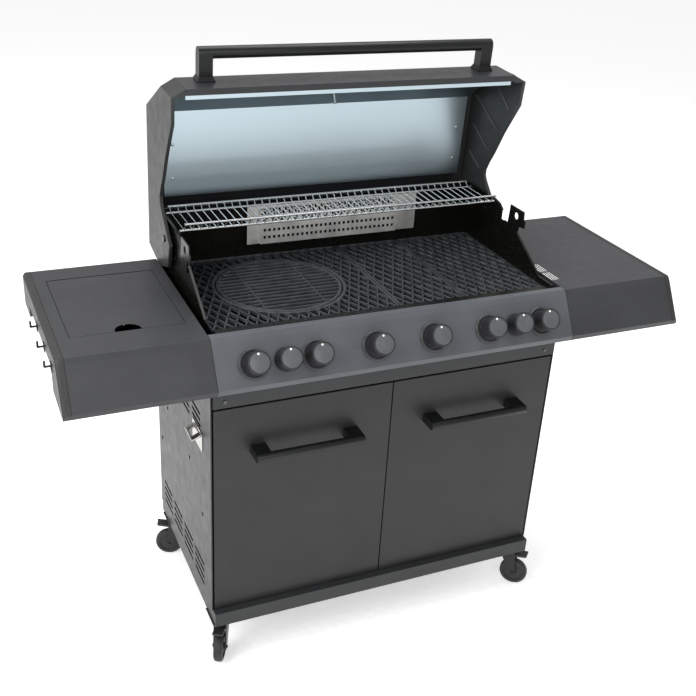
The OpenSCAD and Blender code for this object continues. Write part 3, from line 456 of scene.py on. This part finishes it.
def rounded_path(points, radius, steps=4):
    """The points with each inner corner replaced by a short arc."""
    path = [points[0]]
    for before, corner, after in zip(points, points[1:], points[2:]):
        start = corner + (before - corner).normalized() * radius
        end = corner + (after - corner).normalized() * radius
        for i in range(steps + 1):
            t = i / steps
            path.append((1 - t) ** 2 * start + 2 * t * (1 - t) * corner + t * t * end)
    path.append(points[-1])
    return path


def tube(bm, points, radius, sides):
    """Sweeps a circle along the points and closes its ends."""
    rings = []
    side = None
    for i, point in enumerate(points):
        ahead = points[min(i + 1, len(points) - 1)] - points[max(i - 1, 0)]
        ahead.normalize()
        if side is None:
            side = ahead.orthogonal().normalized()
        side = (side - side.dot(ahead) * ahead).normalized()
        other = ahead.cross(side)
        rings.append([
            bm.verts.new(point + radius * (math.cos(a) * side + math.sin(a) * other))
            for a in (k * (2 * math.pi / sides) for k in range(sides))
        ])
    for a, b in zip(rings, rings[1:]):
        bridge(bm, a, b)
    bm.faces.new(reversed(rings[0]))
    bm.faces.new(rings[-1])


def bar(bm, a, b, width, low, high, crown=0.62):
    """A cast bar between two points of the plan, narrower on top."""
    a, b = Vector(a), Vector(b)
    ahead = (b - a).normalized()
    side = Vector((-ahead.y, ahead.x))
    half = width / 2
    shoulder = high - (high - low) * 0.25
    section = [
        (-half, low), (half, low), (half, shoulder), (half * crown, high), (-half * crown, high),
        (-half, shoulder)
    ]
    rings = [[bm.verts.new((*(end + side * s), z)) for s, z in section] for end in (a, b)]
    bridge(bm, rings[0], rings[1])
    bm.faces.new(reversed(rings[0]))
    bm.faces.new(rings[1])


# ---- Grates and rack ----

# The diamonds' size across and deep, before a whole number is fitted in, and the bars' widths
LATTICE_W = 26.4 * MM
LATTICE_L = 57 * MM
BAR_W = 5 * MM
RIM_W = 7 * MM


def clipped(a, b, x0, x1, y0, y1):
    """The stretch of a line inside a rectangle, or None."""
    start, end = 0.0, 1.0
    d = (b[0] - a[0], b[1] - a[1])
    for i, low, high in ((0, x0, x1), (1, y0, y1)):
        if abs(d[i]) < 1e-9:
            if not low <= a[i] <= high:
                return None
            continue
        t0, t1 = sorted(((low - a[i]) / d[i], (high - a[i]) / d[i]))
        start, end = max(start, t0), min(end, t1)
    if end - start < 1e-4:
        return None
    return tuple((a[0] + t * d[0], a[1] + t * d[1]) for t in (start, end))


def outside_circle(a, b, centre, radius):
    """The stretches of a line that lie outside a circle."""
    shortest = 3 * MM
    a, b, c = Vector(a), Vector(b), Vector(centre)
    ahead = b - a
    length = ahead.length
    ahead.normalize()
    near = (c - a).dot(ahead)
    off = (c - a - near * ahead).length
    if off >= radius:
        return [(a, b)]
    half = math.sqrt(radius ** 2 - off ** 2)
    pieces = []
    if near - half > shortest:
        pieces.append((a, a + min(near - half, length) * ahead))
    if near + half < length - shortest:
        pieces.append((a + max(near + half, 0) * ahead, b))
    return [p for p in pieces if (p[1] - p[0]).length > shortest]


def lattice_bars(bm, x0, x1, y0, y1, low, high, hole=None):
    """Two families of slanting bars that cross as diamonds."""
    across = round((x1 - x0) / LATTICE_W)
    deep = round((y1 - y0) / LATTICE_L * 2) / 2
    w = (x1 - x0) / across
    run = deep * w
    for k in range(-math.ceil(deep), across + math.ceil(deep) + 1):
        for lean in (1, -1):
            x = x0 + k * w
            line = clipped((x, y0), (x + lean * run, y1), x0, x1, y0, y1)
            if not line:
                continue
            for a, b in (outside_circle(*line, *hole) if hole else [line]):
                bar(bm, a, b, BAR_W, low, high)


def rim_bars(bm, x0, x1, y0, y1, low, high):
    """The four bars round a grate, which overlap at the corners."""
    inset = RIM_W / 2
    corners = [
        (x0 + inset, y0 + inset), (x1 - inset, y0 + inset), (x1 - inset, y1 - inset),
        (x0 + inset, y1 - inset)
    ]
    for a, b in zip(corners, corners[1:] + corners[:1]):
        a, b = Vector(a), Vector(b)
        over = (b - a).normalized() * inset
        bar(bm, a - over, b + over, RIM_W, low, high, crown=0.8)


def make_grate(node, hole=None):
    """A grate's rim and lattice, with a ring round its hole if it has one."""
    (x0, y0, low), (x1, y1, high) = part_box(node)
    bm = bmesh.new()
    lattice_bars(bm, x0 + RIM_W, x1 - RIM_W, y0 + RIM_W, y1 - RIM_W, low + 1 * MM, high - 0.6 * MM, hole)
    rim_bars(bm, x0, x1, y0, y1, low, high)
    if hole:
        centre, radius = hole
        flat_ring(bm, centre, radius - 7 * MM, radius + 1 * MM, low, high)
    add_piece(node + "_cast", bm, "grate_iron", NODE_BODY[node], [node], 30)


def make_grates():
    """Three lattice grates, and a round insert of straight bars on two braces."""
    (x0, y0, low), (x1, y1, high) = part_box("grate_insert")
    centre_x, centre_y = (x0 + x1) / 2, (y0 + y1) / 2
    radius = (x1 - x0) / 2
    make_grate("grate_left", ((centre_x, centre_y), radius + 10 * MM))
    make_grate("grate_middle")
    make_grate("grate_right")
    bars, bar_width, brace_width = 15, 4.4 * MM, 5 * MM
    reach = radius - 4 * MM
    bm = bmesh.new()
    flat_ring(bm, (centre_x, centre_y), radius - 8 * MM, radius, low, high)
    for i in range(1, bars + 1):
        y = -reach + 2 * reach * i / (bars + 1)
        half = math.sqrt(reach ** 2 - y ** 2)
        bar(bm, (centre_x - half, centre_y + y), (centre_x + half, centre_y + y), bar_width,
            low, high - 0.4 * MM)
    for share in (-0.5, 0.5):
        x = centre_x + share * reach
        half = math.sqrt(1 - share ** 2) * reach
        bar(bm, (x, centre_y - half), (x, centre_y + half), brace_width, low, high - 2.5 * MM)
    add_piece("grate_insert_cast", bm, "grate_iron", "grate_insert", ["grate_insert"], 30)


def make_rack():
    """A chromed wire rack: four rails and closely set bent cross wires."""
    (x0, y0, low), (x1, y1, high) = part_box("warming_rack")
    rail, wire, bend = 3 * MM, 1.7 * MM, 5 * MM
    wires = 43
    front_top = (y0 + rail, high - rail)
    front_low = (front_top[0] + 19 * MM, low + rail)
    back_low = (y1 - rail - 14 * MM, low + rail + 1 * MM)
    back_top = (y1 - rail, low + rail + 13 * MM)
    middle = (x0 + x1) / 2
    long_half = x1 - middle
    short_half = x1 - 8 * MM - middle
    wires_half = short_half - 4 * MM
    rails = ((front_top, short_half), (front_low, long_half), (back_low, long_half), (back_top, short_half))
    bm = bmesh.new()
    for (y, z), half in rails:
        tube(bm, [Vector((middle - half, y, z)), Vector((middle + half, y, z))], rail, 14)
    for i in range(wires):
        x = middle - wires_half + 2 * wires_half * i / (wires - 1)
        corners = [Vector((x, y, z)) for y, z in (front_top, front_low, back_low, back_top)]
        tube(bm, rounded_path(corners, bend), wire, 8)
    add_piece("warming_rack_wires", bm, "rack_wire", "warming_rack", ["warming_rack"], 50)


# ---- Knobs ----

def knob_matrix(number):
    """A knob's foot on the panel, with Z out along its turning axis and Y up the panel."""
    joint = JOINTS[f"knob_{number}_turn"]
    out = Vector(joint["axis"]).normalized()
    across = Vector((1, 0, 0))
    return axes(Vector(joint["pos_m"]), across, out.cross(across), out)


def make_knobs():
    """Eight knobs with dished faces and a white dot; the faces are coloured lighter as painted light."""
    radius, reach, low, stem = 28 * MM, 50 * MM, 6.8 * MM, 4 * MM
    cap = [
        (0, reach - 1.2 * MM), (radius - 6 * MM, reach - 1.2 * MM), (radius - 4.6 * MM, reach - 0.4 * MM),
        (radius - 4.0 * MM, reach), (radius - 2.6 * MM, reach), (radius - 1.4 * MM, reach - 0.6 * MM),
        (radius - 0.8 * MM, reach - 2 * MM), (radius - 1.2 * MM, reach - 9 * MM),
        (radius - 2.2 * MM, low + 12 * MM), (radius - 0.6 * MM, low + 3 * MM), (radius, low + 2 * MM),
        (radius, low + 0.4 * MM), (radius - 0.5 * MM, low), (radius - 2.5 * MM, low),
        (radius - 4 * MM, low + 6 * MM), (radius - 5 * MM, reach - 6 * MM), (2 * stem, reach - 6 * MM),
        (2 * stem, low + 4 * MM), (stem, low + 4 * MM), (stem, -20 * MM), (0, -20 * MM)
    ]
    face = [
        (0, 0), (radius - 5.2 * MM, 0), (radius - 5.2 * MM, 0.7 * MM), (radius - 5.8 * MM, 0.9 * MM),
        (0, 0.9 * MM)
    ]
    dot = [(0, 0), (2.6 * MM, 0), (2.6 * MM, 0.5 * MM), (2.2 * MM, 0.8 * MM), (0, 0.9 * MM)]
    face_place = Matrix.Translation((0, 0, reach - 1.4 * MM))
    dot_place = Matrix.Translation((0, radius - 8.6 * MM, reach - 0.9 * MM))
    for i in range(1, 9):
        matrix, knob = knob_matrix(i), f"knob_{i}"
        turned_piece(f"{knob}_cap", cap, matrix, 72, "knob_plastic", knob, replaces=[knob], sharp=35)
        turned_piece(f"{knob}_face", face, matrix @ face_place, 72, "knob_plastic", knob,
                     material=KNOB_FACE_LIT)
        turned_piece(f"{knob}_dot", dot, matrix @ dot_place, 24, "knob_plastic", knob, material=DOT_WHITE)


def make_bezels():
    """The raised rings round six of the knobs, as one piece."""
    inner, outer, high = 7 * MM, 36.5 * MM, 6 * MM
    profile = [
        (inner, 0), (outer, 0), (outer, 3 * MM), (outer - 0.8 * MM, 5 * MM), (outer - 2.2 * MM, high),
        (outer - 5.5 * MM, high), (outer - 6.6 * MM, high - 0.8 * MM), (outer - 7.2 * MM, high - 3 * MM),
        (inner, high - 3.4 * MM), (inner, 0)
    ]
    bm = bmesh.new()
    for i in (1, 3, 4, 5, 6, 8):
        lathe(bm, profile, knob_matrix(i), 80)
    add_piece("knob_bezel_rings", bm, "bezel_metal", "frame", ["knob_bezels"], 35)


# ---- Rear heater ----

def pierced_front(bm, left, right, y, low, skin):
    """Three bands of sheet, joined by narrow webs with square holes between them."""
    edge, pitch, web_half = 4 * MM, 13 * MM, 3.2 * MM
    bands = ((0, 14), (22, 34), (42, 56))
    gaps = ((14, 22), (34, 42))
    for a, b in bands:
        slab(bm, (left + skin, y, low + a * MM), (right - skin, y + skin, low + b * MM))
    run = right - left - 2 * edge
    count = int(run / pitch)
    for i in range(count + 1):
        x = left + edge + i * run / count
        for a, b in gaps:
            slab(bm, (x - web_half, y, low + a * MM), (x + web_half, y + skin, low + b * MM))


def finned_slope(bm, a, b, left, right, skin, odd):
    """A slope of sheet with a strip along each edge and fins with staggered links between them."""
    a, b = Vector(a), Vector(b)
    along = b - a
    down = Vector((along.y, -along.x)).normalized() * skin
    fin_half = 1.3 * MM
    fins = int((right - left) / (8.4 * MM))
    step = (right - left) / fins

    def sheet(from_share, to_share, x0, x1):
        p, q = a + along * from_share, a + along * to_share
        prism(bm, [p, q, q + down, p + down], x0, x1)

    sheet(0.0, 0.14, left + skin, right - skin)
    sheet(0.86, 1.0, left + skin, right - skin)
    for i in range(fins):
        x = left + (i + 0.5) * step
        sheet(0.1, 0.9, x - fin_half, x + fin_half)
        link = 0.34 if (i + odd) % 2 else 0.56
        sheet(link, link + 0.14, x, x + step)


def make_rear_burner():
    """A polished heater: a pierced front and a sloping top of interlocked fins over a dark core."""
    (x0, y0, z0), (x1, y1, z1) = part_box("rear_burner")
    left, right = x0 + 28 * MM, x1 - 74 * MM
    low, high = z0 + 10 * MM, z0 + 66 * MM
    skin = 1.2 * MM
    deep = y0 + 30 * MM
    ridge, brow, lip = (deep, high + 34 * MM), (y0 + 12 * MM, high + 16 * MM), (y0, high)
    outline = [(deep, low - 4 * MM), ridge, brow, lip, (y0, low)]
    core = [
        (deep, low), (deep, high + 30 * MM), (y0 + 14 * MM, high + 13 * MM), (y0 + 3 * MM, high - 1 * MM),
        (y0 + 3 * MM, low + 1 * MM)
    ]
    bm = bmesh.new()
    prism(bm, core, left + skin, right - skin)
    add_piece("rear_burner_core", bm, "firebox_enamel", "frame")

    bm = bmesh.new()
    slab(bm, (x0, deep, z0), (x1, deep + skin, z1))
    for x in (left, right - skin):
        prism(bm, outline, x, x + skin)
    for x in (left + 10 * MM, right - 30 * MM):
        slab(bm, (x, deep + skin, low + 20 * MM), (x + 20 * MM, y1, low + 40 * MM))
    pierced_front(bm, left, right, y0, low, skin)
    finned_slope(bm, lip, brow, left, right, skin, 0)
    finned_slope(bm, brow, ridge, left, right, skin, 1)
    add_piece("rear_burner_casing", bm, "polished_steel", "frame", ["rear_burner"], 25)


# ---- Side tables ----

def make_table_seams():
    """Near black lines of painted shadow in the joint between each side table's sheet and its cast end."""
    end_w, seam_radius = 18.2 * MM, 0.7 * MM
    (x0, _, _), (x1, _, _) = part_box("table_end_caps")
    for node, x in (("table_left", x0 + end_w), ("table_right", x1 - end_w)):
        (_, front, _), (_, back, top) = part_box(node)
        break_y = front + 54.3 * MM
        path = [(back, top), (break_y + 9 * MM, top), (break_y, top - 11 * MM), (front, top - 102 * MM)]
        bm = bmesh.new()
        for (ya, za), (yb, zb) in zip(path, path[1:]):
            tube(bm, [Vector((x, ya, za)), Vector((x, yb, zb))], seam_radius, 8)
        add_piece(node + "_seam", bm, "coat_table", "frame", material=SEAM_SHADOW)


# ---- Lid ----

LID_SWING = math.radians(86.5)

# Both ends of each rib, in Y and Z from the hinge of the closed lid
RIB_LINES = [
    ((-0.292, -0.036), (-0.345, 0.050)),
    ((-0.224, 0.008), (-0.280, 0.130)),
    ((-0.158, 0.042), (-0.200, 0.130)),
    ((-0.092, 0.068), (-0.120, 0.130)),
]


def lid_frame():
    """Places a point of the closed lid, measured from its hinge, where the open lid carries it."""
    _, hinge_y, hinge_z = JOINTS["lid_hinge"]["pos_m"]
    return Matrix.Translation((0, hinge_y, hinge_z)) @ Matrix.Rotation(-LID_SWING, 4, "X")


def make_lid_ribs():
    """Shallow ribs across the inner faces of the lid's cast ends, coloured lighter as a painted highlight."""
    wall, proud, half_w = 8.5 * MM, 2.6 * MM, 1.7 * MM
    carry = lid_frame()
    for node, sign in (("lid_cap_left", -1), ("lid_cap_right", 1)):
        (x0, _, _), (x1, _, _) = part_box(node)
        face = (x1 - wall) if sign > 0 else (x0 + wall)
        bm = bmesh.new()
        for a, b in RIB_LINES:
            a, b = Vector(a), Vector(b)
            side = (b - a).normalized().orthogonal() * half_w
            corners = [a - side, b - side, b + side, a + side]
            near, far = (
                [bm.verts.new(carry @ Vector((x, q.x, q.y))) for q in corners]
                for x in (face, face - sign * proud)
            )
            bridge(bm, near, far)
            bm.faces.new(near)
            bm.faces.new(far)
        add_piece(node + "_ribs", bm, "lid_casting", "lid", material=RIB_HIGHLIGHT)


def make_liner_screws():
    """Two screw heads near each side of the liner."""
    inset, depth = 22 * MM, 137.8 * MM
    head = [(0, 0), (4.2 * MM, 0), (4.2 * MM, 1.2 * MM), (2.6 * MM, 2.4 * MM), (0, 2.8 * MM)]
    carry = lid_frame()
    (x0, _, _), (x1, _, _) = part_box("lid_liner")
    bm = bmesh.new()
    for x in (x0 + inset, x1 - inset):
        for y in (-0.19, -0.10):
            base = carry @ Matrix.Translation((x, y, depth)) @ Matrix.Rotation(math.pi, 4, "X")
            lathe(bm, head, base, 20)
    add_piece("lid_liner_screws", bm, "liner_steel", "lid")


# ---- Castors ----

def make_wheels():
    """Rubber-tyred castor wheels with a dished hub."""
    half = 12.5 * MM
    for corner in CORNERS:
        joint = JOINTS[f"wheel_{corner}_spin"]
        place, axle = Vector(joint["pos_m"]), Vector(joint["axis"]).normalized()
        up = Vector((0, 0, 1))
        radius = place.z
        outline = [
            (4.1 * MM, half), (9 * MM, half), (9.6 * MM, half - 0.6 * MM), (10 * MM, half - 3 * MM),
            (24 * MM, half - 4 * MM), (27 * MM, half - 3.4 * MM), (28 * MM, half - 1.4 * MM),
            (31 * MM, half - 0.8 * MM), (35 * MM, half - 1.4 * MM), (38.4 * MM, half - 3.4 * MM),
            (radius - 0.5 * MM, half - 6 * MM), (radius, half - 9 * MM)
        ]
        outline += [(r, -h) for r, h in reversed(outline)]
        outline.append(outline[0])
        turned_piece(f"wheel_{corner}_tyre", outline, axes(place, up.cross(axle), up, axle), 72,
                     "castor_tyre", f"wheel_{corner}", replaces=[f"castor_wheel_{corner}"], sharp=40)


finish_cad_nodes()
make_stage()
make_lights()
make_camera()

for node_name, width in SOFTENED.items():
    soften(node_name, width)

make_grates()
make_rack()
make_knobs()
make_bezels()
make_wheels()
make_rear_burner()
make_lid_ribs()
make_liner_screws()
make_table_seams()
